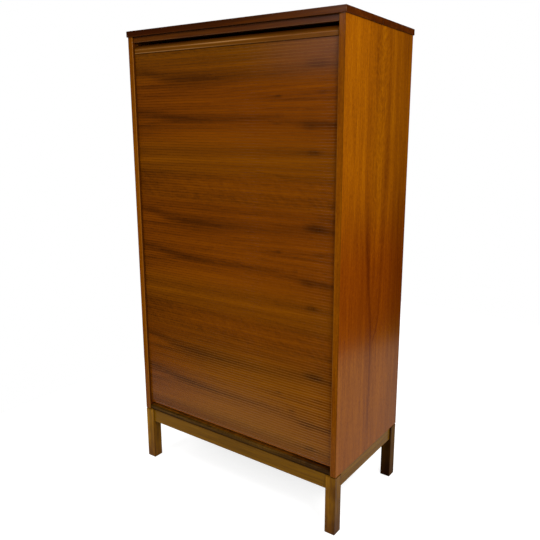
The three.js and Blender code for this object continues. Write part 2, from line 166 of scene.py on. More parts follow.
def open_group(name, inputs, outputs):
    """Starts a node group with its sockets. What it is given and its result's sockets come back with it."""
    group = bpy.data.node_groups.new(name, "ShaderNodeTree")
    for title, kind, value in inputs:
        socket = group.interface.new_socket(title, in_out="INPUT", socket_type=f"NodeSocket{kind}")
        if value is not None:
            socket.default_value = value
    for title, kind in outputs:
        group.interface.new_socket(title, in_out="OUTPUT", socket_type=f"NodeSocket{kind}")
    return group, group.nodes.new("NodeGroupInput").outputs, group.nodes.new("NodeGroupOutput").inputs


def lay_group(group, *values):
    """Uses a node group; its outputs come back."""
    return lay_node(tree_of(*values), "Group", *values, node_tree=group).outputs


def build_timber_group():
    """Timber: slow bands, fine fibres and open pores along X of its position, which is in metres."""
    inputs = [
        ("Position", "Vector", None),
        ("Figure", "Float", 0),
        ("Dark", "Color", (0.1, 0.03, 0.01, 1)),
        ("Middle", "Color", (0.2, 0.07, 0.02, 1)),
        ("Light", "Color", (0.3, 0.12, 0.04, 1)),
        ("Bands", "Float", 0.5),
        ("Fibres", "Float", 0.4),
        ("Pores", "Float", 0.4),
    ]
    outputs = [("Colour", "Color"), ("Tone", "Float"), ("Height", "Float")]
    group, given, result = open_group("timber", inputs, outputs)
    wander = stretched_noise(given["Position"], (1.3, 11, 11), 1)
    sideways = join(0, times(wander, 0.016), times(wander, 0.009))
    wavy = work_vectors("ADD", given["Position"], sideways)
    bands = stretched_noise(wavy, (1.9, 46, 46), 3, 0.55)
    fibres = stretched_noise(wavy, (7, 230, 230), 3, 0.65)
    cloud = stretched_noise(wavy, (4, 9, 9), 1)
    pores = ease_between(stretched_noise(wavy, (38, 1100, 1100), 0), 0.13, 0.26)
    pores = times(pores, given["Pores"])

    tone = 0.5
    own = [(bands, given["Bands"]), (fibres, given["Fibres"])]
    for value, share in (*own, (cloud, 0.25), (given["Figure"], 0.5), (pores, -0.35)):
        tone = add_share(value, share, tone)
    below = ease_between(tone, 0, 0.5, way="LINEAR")
    above = ease_between(tone, 0.5, 1, way="LINEAR")
    darker = blend_colours(below, given["Dark"], given["Middle"])
    feed(result["Colour"], blend_colours(above, darker, given["Light"]))
    feed(result["Tone"], tone)
    height = add_share(fibres, 0.5, 0.5)
    feed(result["Height"], add_share(pores, -0.6, height))
    return group


def build_worn_edges_group():
    """Wear on a board's arrises: 1 on the edges of the box from Low to High, fading over Width."""
    inputs = [(name, "Vector", None) for name in ("Position", "Low", "High")] + [("Width", "Float", 0.003)]
    group, given, result = open_group("worn_edges", inputs, [("Wear", "Float")])
    above = work_vectors("SUBTRACT", given["Position"], given["Low"])
    below = work_vectors("SUBTRACT", given["High"], given["Position"])
    x, y, z = split(work_vectors("MINIMUM", above, below))
    # near an arris, two of the three distances are small
    nearer = reckon("MINIMUM", x, y)
    farther = reckon("MAXIMUM", x, y)
    second = reckon("MAXIMUM", nearer, reckon("MINIMUM", farther, z))
    rub = stretched_noise(given["Position"], (60, 60, 60), 3, 0.6)
    reach = add_share(rub, given["Width"], given["Width"])
    feed(result["Wear"], fade_between(second, 0, reach))
    return group


timber_group = build_timber_group()
worn_edges_group = build_worn_edges_group()

# which of X, Y and Z go along the grain, across the face and into the board
GRAIN_ORDERS = {"X": "XZY", "Y": "YZX", "Z": "ZXY"}
GRAIN_RELIEF = 0.00002
WEAR_WIDTH = 0.0022


def grain_position(tree, along, offset=(0, 0, 0)):
    """The piece's own coordinates in metres, turned so that X runs along the grain."""
    apart = read_place(tree)[1:]
    turned = join(*(apart["XYZ".index(axis)] for axis in GRAIN_ORDERS[along]))
    return work_vectors("ADD", turned, offset)


def start_material(name):
    """A fresh node material; its tree and its surface shader's inputs come back with it."""
    material = bpy.data.materials.new(name)
    material.use_nodes = True
    return material, material.node_tree, material.node_tree.nodes["Principled BSDF"].inputs


def place_timber(position, tones, figure=0, bands=0.5, fibres=0.4, pores=0.4):
    """Puts the timber group in a material; its colour, tone and height come back."""
    dark, middle, light = ((*tone, 1) for tone in tones)
    return lay_group(timber_group, position, figure, dark, middle, light, bands, fibres, pores)


def finish_timber(surface, timber, colour, sheen, gloss):
    """Sets how a timber surface shines: sheen is its roughness, from its dark to its light grain."""
    feed(surface["Base Color"], colour)
    feed(surface["Roughness"], ease_between(timber["Tone"], 0.1, 0.9, *sheen))
    feed(surface["Specular IOR Level"], gloss)
    bump = lay_node(colour.id_data, "Bump", 0.5, GRAIN_RELIEF)
    feed(bump.inputs["Height"], timber["Height"])
    feed(surface["Normal"], bump.outputs[0])


def rub_edges(colour, node, worn, wear):
    """Rubs the arrises of a node's box paler."""
    place = read_place(colour.id_data)[0]
    edges = lay_group(worn_edges_group, place, *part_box(node), WEAR_WIDTH)
    return blend_colours(times(edges["Wear"], wear), colour, worn)


PALE_TEAK = (0.3, 0.15, 0.06)


def board_material(
    name, node, along, tones, sheen=(0.36, 0.26), worn=PALE_TEAK, wear=0.35, gloss=0.12, **grain
):
    """Timber for one board, with its arrises rubbed paler; the node gives the board's box."""
    material, tree, surface = start_material(name)
    offset = [17 * index + 3.1 * sum(map(ord, name)) % 7 for index in range(3)]
    timber = place_timber(grain_position(tree, along, offset), tones, **grain)
    colour = rub_edges(timber["Colour"], node, worn, wear)
    finish_timber(surface, timber, colour, sheen, gloss)
    return material


def place_object(name, data):
    """An object at the origin, put in the scene."""
    placed = bpy.data.objects.new(name, data)
    bpy.context.scene.collection.objects.link(placed)
    return placed


def place_mesh(bm, name, material):
    """A finished mesh in its material, put in the scene."""
    mesh = bpy.data.meshes.new(name)
    bm.to_mesh(mesh)
    bm.free()
    mesh.materials.append(material)
    return place_object(name, mesh)


def set_out(bm, name, material, body, slot, *nodes):
    """Makes the finished piece, which rides on a body and stands for the named CAD nodes."""
    piece = place_mesh(bm, name, material)
    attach(piece, body)
    if nodes:
        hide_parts(*nodes)
    return piece


def block(bm, low, high):
    """A square-edged block between two corners; its vertices come back."""
    low = Vector(low)
    high = Vector(high)
    made = bmesh.ops.create_cube(bm, size=1)["verts"]
    bmesh.ops.scale(bm, vec=high - low, verts=made)
    bmesh.ops.translate(bm, vec=(low + high) / 2, verts=made)
    return made


def start_block(low, high):
    """A new mesh that holds one block."""
    bm = bmesh.new()
    block(bm, low, high)
    return bm


TOUCHING = 1e-6


def edges_where(bm, wanted):
    """The edges whose two ends both fit the test."""
    return [edge for edge in bm.edges if all(wanted(vert.co) for vert in edge.verts)]


def upright_edges(bm):
    """The edges that run from the bottom to the top."""
    return [edge for edge in bm.edges if abs(edge.verts[0].co.z - edge.verts[1].co.z) > 0.001]


def ease(bm, edges, radius, steps=3):
    """Rounds the given arrises."""
    rounded = bmesh.ops.bevel(
        bm, geom=edges, offset=radius, offset_type="OFFSET", affect="EDGES", segments=steps, profile=0.5,
        material=-1, clamp_overlap=True,
    )
    for face in rounded["faces"]:
        face.smooth = True


FRAME_TONES = [(0.062, 0.024, 0.0006), (0.168, 0.07, 0.0014), (0.275, 0.132, 0.006)]
# darker tones for the back legs: painted shade under the cabinet
BACK_LEG_SHADED_TONES = [(0.034, 0.0135, 0.0006), (0.1, 0.043, 0.0012), (0.19, 0.088, 0.006)]
FRAME_SHEEN = (0.32, 0.22)
# dark arris colour: grime on the legs, and painted shade on the rails in the gap under the cabinet
FRAME_GRIME_AND_SHADE = (0.06, 0.02, 0.002)
LEG_ARRIS = 0.0014
FOOT_ARRIS = 0.0018
RAIL_ARRIS = 0.001
GRIME_HEIGHT = 0.09
STAIN_DEPTH = (0.0005, 0.002)
PALE_CORNER = (-0.4, -0.34)


def build_leg_wood(name, node, tones, gloss):
    """Oiled timber for a leg, with grime worked into it by the floor and along its arrises.

    The left-hand legs have stayed paler. The back legs are darker with painted shade, and their front
    faces, under the cabinet, darker still with painted shade.
    """
    material, tree, surface = start_material(name)
    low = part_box(node)[0]
    offset = (low[0] * 9, low[1] * 9, 1)
    timber = place_timber(grain_position(tree, "Z", offset), tones, bands=1.2, fibres=0.9, pores=0.9)
    place, x, y, z = read_place(tree)
    colour = stain_between(timber["Colour"], z, 0, GRIME_HEIGHT, (0.62, 0.52, 0.5))
    uneven = stretched_noise(place, (28, 34, 11), 2, 0.6)
    colour = stain_between(colour, uneven, -0.16, 0.16, (0.78, 0.68, 0.66), (1.22, 1.18, 1))
    colour = stain_between(colour, x, *PALE_CORNER, (1.6, 1.75, 1.35))
    # painted shade: the back legs' front faces, in the shade under the cabinet, are darkened
    if "back" in node:
        colour = stain_between(colour, y, *(low[1] + depth for depth in STAIN_DEPTH), (0.3, 0.26, 0.3))
    colour = rub_edges(colour, node, FRAME_GRIME_AND_SHADE, 0.7)
    finish_timber(surface, timber, colour, FRAME_SHEEN, gloss)
    return material


def make_leg(node):
    """A square leg with eased arrises, cut square at the floor."""
    low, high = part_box(node)
    bm = start_block(low, high)
    ease(bm, upright_edges(bm), LEG_ARRIS)
    ease(bm, edges_where(bm, lambda place: place.z < low[2] + TOUCHING), FOOT_ARRIS, 2)
    # the back legs take darker tones as painted shade
    tones, gloss = (BACK_LEG_SHADED_TONES, 0.015) if "back" in node else (FRAME_TONES, 0.07)
    wood = build_leg_wood(f"{node}_wood", node, tones, gloss)
    set_out(bm, f"{node}_turned_out", wood, "carcass", "frame_wood", node)


CORNERS = [f"{depth}_{side}" for depth in ("front", "back") for side in ("left", "right")]
for corner in CORNERS:
    make_leg(f"leg_{corner}")


def make_board(name, node, along, tones, slot, radius=0.0008, **finish):
    """A plain board with all its arrises eased."""
    bm = start_block(*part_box(node))
    ease(bm, bm.edges[:], radius)
    wood = board_material(f"{name}_wood", node, along, tones, **finish)
    return set_out(bm, name, wood, "carcass", slot, node)


# the rails' arrises are darkened: grime, and painted shade in the gap under the cabinet
for end, along in {"front": "X", "back": "X", "left": "Y", "right": "Y"}.items():
    make_board(
        f"apron_{end}_rail", f"apron_{end}", along, FRAME_TONES, "frame_wood", RAIL_ARRIS,
        sheen=FRAME_SHEEN, gloss=0.065, worn=FRAME_GRIME_AND_SHADE, wear=0.6, bands=0.85, fibres=0.9,
    )


def dress(node, material):
    """Gives a CAD node its real finish."""
    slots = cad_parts[node].data.materials
    slots.clear()
    slots.append(material)


BLOCK_TONES = [(0.2, 0.12, 0.055), (0.33, 0.22, 0.11), (0.45, 0.32, 0.18)]
for corner in CORNERS:
    node = f"corner_block_{corner}"
    dress(node, board_material(f"{node}_wood", node, "X", BLOCK_TONES, sheen=(0.8, 0.7), wear=0.15))

# Bottom board: the carcass's lowest board, let in between the side panels. Its stained front edge is
# rounded over, and shows as a ledge under the shutter.
LEDGE_TONES = [(0.017, 0.0072, 0.0006), (0.078, 0.033, 0.002), (0.175, 0.086, 0.01)]
LEDGE_ROUND = 0.0045
LEDGE_FOOT = 0.005


def build_ledge_stain():
    """Dull dark stain, with painted shade towards the right-hand end and along the foot of the edge."""
    material, tree, surface = start_material("ledge_wood")
    low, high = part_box("bottom_board")
    lengthways = grain_position(tree, "X", (4, 2, 6))
    timber = place_timber(lengthways, LEDGE_TONES, bands=0.9, fibres=1.2, pores=1)
    place, x, y, z = read_place(tree)
    # short upright scratches cross the grain
    scratches = stretched_noise(place, (330, 40, 26), 2, 0.6)
    colour = stain_between(timber["Colour"], scratches, -0.2, 0.2, (0.6, 0.6, 0.6), (1.35, 1.35, 1.35))
    # painted shade: darker towards the right-hand end, beside the side panel
    colour = stain_between(colour, x, high[0] * 0.2, high[0] * 0.98, CLEAR, (0.45, 0.38, 0.4))
    # painted shade along the foot of the edge, in the gap over the rail
    colour = stain_between(colour, z, low[2], low[2] + LEDGE_FOOT, (0.2, 0.14, 0.2))
    # the stain stops behind the rounded edge, where the board is paler and redder; this also paints light
    # into the shade under the bend
    behind = (low[1] + LEDGE_ROUND, low[1] + 2 * LEDGE_ROUND)
    colour = stain_between(colour, y, *behind, CLEAR, (1.9, 1.35, 0.8))
    finish_timber(surface, timber, colour, (0.5, 0.4), gloss=0.05)
    return material


def make_bottom_board():
    """The bottom board with its front edge rounded over."""
    low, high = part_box("bottom_board")
    bm = start_block(low, high)
    front_top = edges_where(bm, lambda place: place.y < low[1] + TOUCHING and place.z > high[2] - TOUCHING)
    ease(bm, front_top, LEDGE_ROUND, 5)
    set_out(bm, "bottom_board_rounded", build_ledge_stain(), "carcass", "ledge_wood", "bottom_board")


make_bottom_board()

# Side panels: boards veneered in teak on both faces, with the grain upright. The outer faces show one wide
# leaf: two pairs of pale streaks that part downwards, round a feathered heart. The track for the shutter is
# routed into the inner faces. The inner front arris is paler, partly rubbed by hands and partly a painted
# highlight, and painted shade darkens the inner face in front of the track.


def follow_curve(value, points):
    """A smooth curve from places to their values, all from 0 to 1; a plain number is a level curve."""
    if isinstance(points, (int, float)):
        return points
    points = list(points.items())
    curve = lay_node(value.id_data, "FloatCurve")
    line = curve.mapping.curves[0]
    line.points[0].location = points[0]
    line.points[-1].location = points[-1]
    for point in points[1:-1]:
        line.points.new(*point)
    curve.mapping.update()
    feed(curve.inputs["Value"], value)
    return curve.outputs[0]


def how_far(first, second):
    """How far apart two values are."""
    return reckon("ABSOLUTE", minus(first, second))


def grain_mark(along, across, centre, width, depth):
    """One streak in the figure. Its centre, half width and depth of tone change along the grain."""
    off_centre = how_far(across, follow_curve(along, centre))
    mark = fade_between(off_centre, 0, follow_curve(along, width))
    return times(mark, follow_curve(along, depth))


SIDE_TONES = [(0.145, 0.032, 0.0003), (0.265, 0.0715, 0.0003), (0.385, 0.12, 0.0004)]
# how much redder and darker the side panel is down the panel: partly its own colour, partly painted shade
RED_AND_SHADE_ZONE = {0: 0, 0.22: 0.02, 0.36: 0.25, 0.48: 0.8, 0.56: 1, 0.64: 0.95, 0.72: 0.35, 0.78: 0, 1: 0}
# pale streaks: how far across the panel each is, from the front, at places down the panel
PALE_STREAKS = [
    {0: 0.17, 0.14: 0.19, 0.29: 0.19, 0.41: 0.165, 0.51: 0.133, 0.64: 0.109, 0.83: 0.133, 1: 0.07},
    {0: 0.31, 0.29: 0.298, 0.41: 0.315, 0.53: 0.344, 0.64: 0.363, 0.87: 0.363, 1: 0.39},
    {0: 0.715, 0.29: 0.71, 0.41: 0.69, 0.49: 0.654, 0.6: 0.635, 0.83: 0.654, 1: 0.6},
    {0: 0.824, 0.18: 0.812, 0.41: 0.836, 0.64: 0.877, 0.76: 0.884, 1: 0.95},
]
STREAK_WIDTH = 0.03
STREAK_DEPTH = 0.22
HEART = 0.52


def build_side_figure_group():
    """The side panels' figure, from a place down the panel and a place across it, each from 0 to 1."""
    inputs = [(name, "Float", None) for name in ("Down", "Across")]
    group, given, result = open_group("side_figure", inputs, [("Figure", "Float")])
    down = given["Down"]
    place = join(down, given["Across"])
    across = add_share(stretched_noise(place, (7, 3, 1), 2), 0.018, given["Across"])
    broken = add_share(stretched_noise(place, (16, 70, 1), 2, 0.6), 2.2, 1)

    def draw(*mark):
        """A mark on the panel: its centre, half width and depth, each down the panel."""
        return grain_mark(down, across, *mark)

    pale = [draw(streak, STREAK_WIDTH, STREAK_DEPTH) for streak in PALE_STREAKS]
    feather = draw(
        {0: 0.53, 0.5: 0.53, 1: 0.5}, 0.055,
        {0: 0.5, 0.05: 0.35, 0.2: 0.2, 0.33: 0.65, 0.48: 0.6, 0.56: 0.1, 1: 0},
    )
    left_arm = draw(
        {0: 0.36, 0.38: 0.37, 0.55: 0.41, 0.72: 0.465, 0.84: 0.468, 1: 0.47},
        {0: 0.05, 0.4: 0.075, 0.6: 0.04, 0.85: 0.02, 1: 0.02},
        {0: 0.12, 0.3: 0.25, 0.45: 0.58, 0.7: 0.68, 0.85: 0.72, 0.95: 0.4, 1: 0.1},
    )
    right_arm = draw(
        {0: 0.64, 0.5: 0.61, 0.68: 0.565, 0.73: 0.5, 1: 0.47},
        {0: 0.05, 0.4: 0.06, 0.7: 0.025, 1: 0.02},
        {0: 0.2, 0.3: 0.3, 0.55: 0.35, 0.7: 0.6, 0.74: 0, 1: 0},
    )
    tail = draw(0.47, 0.13, {0: 0, 0.62: 0, 0.74: 0.3, 0.88: 0.3, 1: 0.1})
    # short flecks that slant away from the middle, like a feather, break up the heart
    off_heart = how_far(across, HEART)
    barbs = join(add_share(off_heart, 0.3, down), across)
    flecks = stretched_noise(barbs, (84, 26, 1), 2, 0.65)
    heart = fade_between(off_heart, 0.03, 0.19)
    heart = times(heart, ease_between(down, 0.15, 0.75, 1, 0.35))
    figure = times(times(flecks, heart), 2.1)
    for mark in (*pale, feather):
        figure = reckon("ADD", figure, times(mark, broken))
    for mark in (left_arm, right_arm, tail):
        figure = minus(figure, mark)
    feed(result["Figure"], figure)
    return group


side_figure_group = build_side_figure_group()
LIPPING_FACE = (0.0005, 0.0012)
TRACK_STRIP = (0.016, 0.018)
DARK_JOINT = (0.05, 0.016, 0.001)


def side_material(name, node):
    """Teak veneer for one side panel."""
    material, tree, surface = start_material(name)
    low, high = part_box(node)
    _, x, y, z = read_place(tree)
    down = ease_between(z, high[2], low[2], way="LINEAR")
    across = ease_between(y, low[1], high[1], way="LINEAR")
    figure = lay_group(side_figure_group, down, across)["Figure"]
    # short flecks run with the grain all over
    lengthways = grain_position(tree, "Z")
    flecks = times(stretched_noise(lengthways, (100, 230, 230), 3, 0.75), 2.1)
    marked = reckon("ADD", figure, flecks)
    timber = place_timber(lengthways, SIDE_TONES, marked, bands=0.55, fibres=0.95, pores=0.8)
    # the lower half of the leaf is redder, and darker with painted shade, up to its foot
    colour = stain_by(follow_curve(down, RED_AND_SHADE_ZONE), timber["Colour"], (0.82, 0.57, 0.6))
    # near the head, the front half is paler and golden, partly its own colour and partly painted light
    lit_head = fade_between(down, 0.28, 0.52)
    front_half = fade_between(across, 0.26, 0.5)
    colour = stain_by(times(lit_head, front_half), colour, (1.22, 1.24, 1.1))
    # and painted shade darkens it towards the back edge, most of all half way down
    shaded_margin = follow_curve(across, {0: 0, 0.5: 0.2, 0.68: 0.2, 0.9: 1, 1: 1})
    depth = {0: 0.45, 0.2: 0.45, 0.34: 0.7, 0.48: 1, 0.7: 1, 0.82: 0.6, 1: 0.5}
    depth = follow_curve(down, depth)
    colour = stain_by(times(shaded_margin, depth), colour, (0.62, 0.58, 0.6))
    # the front edge has a lipping of browner teak, paler along its inner arris from wear and a painted
    # highlight
    sideways = reckon("ABSOLUTE", x)
    inner, outer = sorted((abs(low[0]), abs(high[0])))
    from_inner = how_far(sideways, inner)
    from_front = minus(y, low[1])
    lipping = fade_between(from_front, *LIPPING_FACE)
    browned = follow_curve(down, {0: 0, 0.3: 0.6, 0.6: 1, 0.85: 0.5, 1: 0.5})
    browned = blend_colours(browned, (0.56, 0.53, 1), (0.78, 0.76, 1))
    colour = blend_colours(lipping, colour, stain_by(1, timber["Colour"], browned))
    # a dark glue line parts the lipping from the face veneer
    glue_line = ease_between(minus(outer, sideways), 0.001, 0.0024, 0.45, 0)
    colour = blend_colours(times(glue_line, lipping), colour, DARK_JOINT)
    # painted shade darkens the strip of the inner face in front of the track
    inner_face = fade_between(from_inner, 0.0002, 0.0008)
    shaded_strip = times(inner_face, ease_between(from_front, 0.0012, 0.0022, 0, 1))
    shaded_strip = times(shaded_strip, fade_between(from_front, *TRACK_STRIP))
    colour = blend_colours(shaded_strip, colour, (0.08, 0.018, 0.001))
    # the inner arris is paler: partly wear, partly a painted highlight
    from_arris = reckon("ADD", from_inner, from_front)
    worn_highlight = times(fade_between(from_arris, 0.0008, 0.003), 0.35)
    colour = blend_colours(worn_highlight, colour, (0.36, 0.17, 0.03))
    finish_timber(surface, timber, colour, (0.21, 0.15), gloss=0.06)
    return material


for side in ("left", "right"):
    dress(f"side_panel_{side}", side_material(f"side_panel_{side}_teak", f"side_panel_{side}"))

# Back panel: thin plywood, let into a rebate in the side panels and pinned there. It is left matt, and its
# grain is upright.
PLY_TONES = [(0.16, 0.085, 0.032), (0.27, 0.16, 0.068), (0.36, 0.235, 0.115)]
PLY_ARRIS = 0.0006
make_board(
    "back_panel_ply", "back_panel", "Z", PLY_TONES, "back_ply", PLY_ARRIS, sheen=(0.8, 0.68), bands=0.9,
    wear=0.2,
)

# Raised floor and false back: veneered boards that keep stored things clear of the shutter, which runs
# under the one and up behind the other. The floor's lower edges are rounded where the shutter turns.
INSIDE_TONES = [(0.15, 0.062, 0.015), (0.29, 0.14, 0.042), (0.4, 0.22, 0.082)]
INSIDE_SHEEN = (0.5, 0.42)
INSIDE_ARRIS = 0.0005
floor_veneer = board_material("inner_floor_veneer", "inner_floor", "X", INSIDE_TONES, sheen=INSIDE_SHEEN)
dress("inner_floor", floor_veneer)
make_board(
    "false_back_panel", "false_back", "Z", INSIDE_TONES, "inside_veneer", INSIDE_ARRIS,
    sheen=INSIDE_SHEEN, bands=0.7,
)

# Shelves: veneered boards with a lipping of solid teak along the front. Each lies on two steel wires whose
# bent ends turn into holes in the side panels.
LIPPING_TONES = [(0.095, 0.036, 0.01), (0.2, 0.085, 0.024), (0.3, 0.145, 0.05)]
LIPPING_DEPTH = 0.006
BOARD_ARRIS = 0.0004
LIPPING_ARRIS = 0.0012


def make_shelf(node):
    """A shelf: its board, and the lipping glued along the board's front."""
    low, high = map(Vector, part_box(node))
    seam = low.y + LIPPING_DEPTH
    bm = start_block((low.x, seam, low.z), high)
    ease(bm, bm.edges[:], BOARD_ARRIS, 2)
    veneer = board_material(f"{node}_veneer", node, "X", INSIDE_TONES, sheen=INSIDE_SHEEN, wear=0.15)
    set_out(bm, f"{node}_board", veneer, "carcass", "inside_veneer", node)
    bm = start_block(low, (high.x, seam, high.z))
    ease(bm, bm.edges[:], LIPPING_ARRIS)
    teak = board_material(f"{node}_lipping_teak", node, "X", LIPPING_TONES, sheen=(0.45, 0.36))
    set_out(bm, f"{node}_lipping", teak, "carcass", "inside_veneer", node)


def build_wire_steel():
    """Bright plated wire, faintly drawn along its length."""
    material, tree, surface = start_material("wire_steel_plated")
    drawn = stretched_noise(read_place(tree)[0], (900, 60, 900), 2)
    feed(surface["Roughness"], add_share(drawn, 0.18, 0.3))
    tint = ease_between(drawn, -0.3, 0.3)
    colour = blend_colours(tint, (0.5, 0.49, 0.46), (0.62, 0.61, 0.58))
    feed(surface["Base Color"], colour)
    feed(surface["Metallic"], 1)
    return material


wire_steel = build_wire_steel()


def parts_of(parts, kind):
    """The vertices or the edges among some parts of a mesh."""
    return [part for part in parts if isinstance(part, kind)]


def draw_out(bm, parts, run):
    """Draws the edges among some parts out along a run, and gives back the new rim's vertices and edges."""
    grown = bmesh.ops.extrude_edge_only(bm, edges=parts_of(parts, bmesh.types.BMEdge))["geom"]
    rim = parts_of(grown, bmesh.types.BMVert)
    bmesh.ops.translate(bm, vec=run, verts=rim)
    edges = parts_of(grown, bmesh.types.BMEdge)
    return rim, [edge for edge in edges if all(vert in rim for vert in edge.verts)]


def make_shelf_wire(node):
    """One wire support: a straight run with a round bend at each end, turned into the panel."""
    low, high = map(Vector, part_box(node))
    radius = (high.z - low.z) / 2
    bend = radius * 2
    towards = 1 if low.x > 0 else -1
    run_x = (low.x if towards > 0 else high.x) + towards * radius
    tip_x = high.x if towards > 0 else low.x
    reach = abs(tip_x - run_x) - bend
    front = Vector((run_x, low.y + radius + bend, (low.z + high.z) / 2))
    back = Vector((run_x, high.y - radius - bend, front.z))
    bm = bmesh.new()
    ring = bmesh.ops.create_circle(bm, cap_ends=False, radius=radius, segments=16)["verts"]
    bmesh.ops.rotate(bm, matrix=Matrix.Rotation(radians(90), 3, "X"), verts=ring)
    bmesh.ops.translate(bm, vec=front, verts=ring)
    start = ring + list({edge for vert in ring for edge in vert.link_edges})

    def turn_in(parts, corner, turn):
        """Bends one end of the run round a corner, draws its tip into the panel and caps it."""
        centre = corner + Vector((towards * bend, 0, 0))
        angle = radians(turn) * towards
        bent = bmesh.ops.spin(
            bm, geom=parts, cent=centre, axis=(0, 0, 1), angle=angle, steps=6, use_merge=False
        )["geom_last"]
        tip, _ = draw_out(bm, bent, (towards * reach, 0, 0))
        bmesh.ops.contextual_create(bm, geom=tip)

    turn_in(start, front, 90)
    far_ring, far_edges = draw_out(bm, start, back - front)
    turn_in(far_ring + far_edges, back, -90)
    bmesh.ops.remove_doubles(bm, verts=bm.verts, dist=TOUCHING)
    bmesh.ops.recalc_face_normals(bm, faces=bm.faces)
    for face in bm.faces:
        face.smooth = len(face.verts) == 4
    set_out(bm, f"{node}_bent", wire_steel, "carcass", "wire_steel", node)


SHELF_COUNT = sum(name.startswith("shelf_") and "wire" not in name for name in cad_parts)
for number in range(1, SHELF_COUNT + 1):
    make_shelf(f"shelf_{number}")
    for side in ("left", "right"):
        make_shelf_wire(f"shelf_wire_{number}_{side}")

# Top rail: a narrow strip of solid teak glued under the top panel. The gap below it takes the fingers that
# pull the shutter down.
RAIL_TONES = [(0.028, 0.0056, 0.0003), (0.07, 0.0152, 0.0004), (0.126, 0.036, 0.0018)]
make_board(
    "top_front_rail_teak", "top_front_rail", "X", RAIL_TONES, "rail_teak", RAIL_ARRIS, bands=1, fibres=0.9
)

# Top panel: a board veneered and edged in teak that is stained much darker than the rest. It overhangs the
# sides a little, with a crisp upper arris and a full round below.
TOP_TONES = [(0.026, 0.0052, 0.0004), (0.078, 0.015, 0.0006), (0.135, 0.032, 0.002)]
TOP_CORNER = 0.0015
TOP_UPPER_ARRIS = 0.0012
TOP_LOWER_ROUND = 0.0055


def build_top_teak():
    """Stained teak; the front lipping is darker, partly stain and partly painted shade, most at the left.
    """
    material, tree, surface = start_material("top_panel_teak")
    low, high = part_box("top_panel")
    timber = place_timber(grain_position(tree, "X", (2, 9, 4)), TOP_TONES, bands=1.2, fibres=0.9)
    _, x, y, _ = read_place(tree)
    lipping = fade_between(minus(y, low[1]), TOP_LOWER_ROUND, TOP_LOWER_ROUND + 0.001)
    # painted shade: the front lipping is darkened, most at the left
    colour = stain_between(timber["Colour"], x, low[0], high[0], (0.46, 0.42, 0.5), (0.9, 1.05, 0.8))
    colour = blend_colours(lipping, timber["Colour"], colour)
    colour = rub_edges(colour, "top_panel", (0.12, 0.05, 0.02), 0.3)
    finish_timber(surface, timber, colour, (0.28, 0.2), gloss=0.07)
    return material


def make_top_panel():
    """The top panel with its two kinds of arris."""
    low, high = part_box("top_panel")
    bm = start_block(low, high)
    ease(bm, upright_edges(bm), TOP_CORNER)
    ease(bm, edges_where(bm, lambda place: place.z < low[2] + TOUCHING), TOP_LOWER_ROUND, 6)
    ease(bm, edges_where(bm, lambda place: place.z > high[2] - TOUCHING), TOP_UPPER_ARRIS, 2)
    set_out(bm, "top_panel_stained", build_top_teak(), "carcass", "top_teak", "top_panel")


make_top_panel()

# Shutter: narrow slats cut from one veneered sheet, so that its figure runs on from slat to slat, and glued
# to canvas. Leaves from one flitch lie one below the other, so the same dark flames and small knots come
# back at each leaf. The slat ends run in the tracks.
SLATS_PER_SECTION = 6
SLAT_GAP = 0.0003
SLAT_THICKNESS = 0.005
SLAT_ARRIS = 0.0004
BEND_RADIUS = 0.02
section_names = sorted(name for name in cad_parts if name.startswith("tambour_section_"))
slat_count = SLATS_PER_SECTION * len(section_names)
lowest_section = [Vector(corner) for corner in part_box(section_names[0])]
curtain_foot = lowest_section[0].z
curtain_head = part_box(section_names[-1])[1][2]
curtain_face = lowest_section[0].y
curtain_back = lowest_section[1].y
slat_end = lowest_section[1].x
slat_pitch = (curtain_head - curtain_foot) / slat_count

SHUTTER_TONES = [(0.048, 0.0125, 0.0001), (0.16, 0.0415, 0.0001), (0.25, 0.069, 0.0002)]
LEAF_HEIGHT = 0.435
LEAF_TOP = 1.396

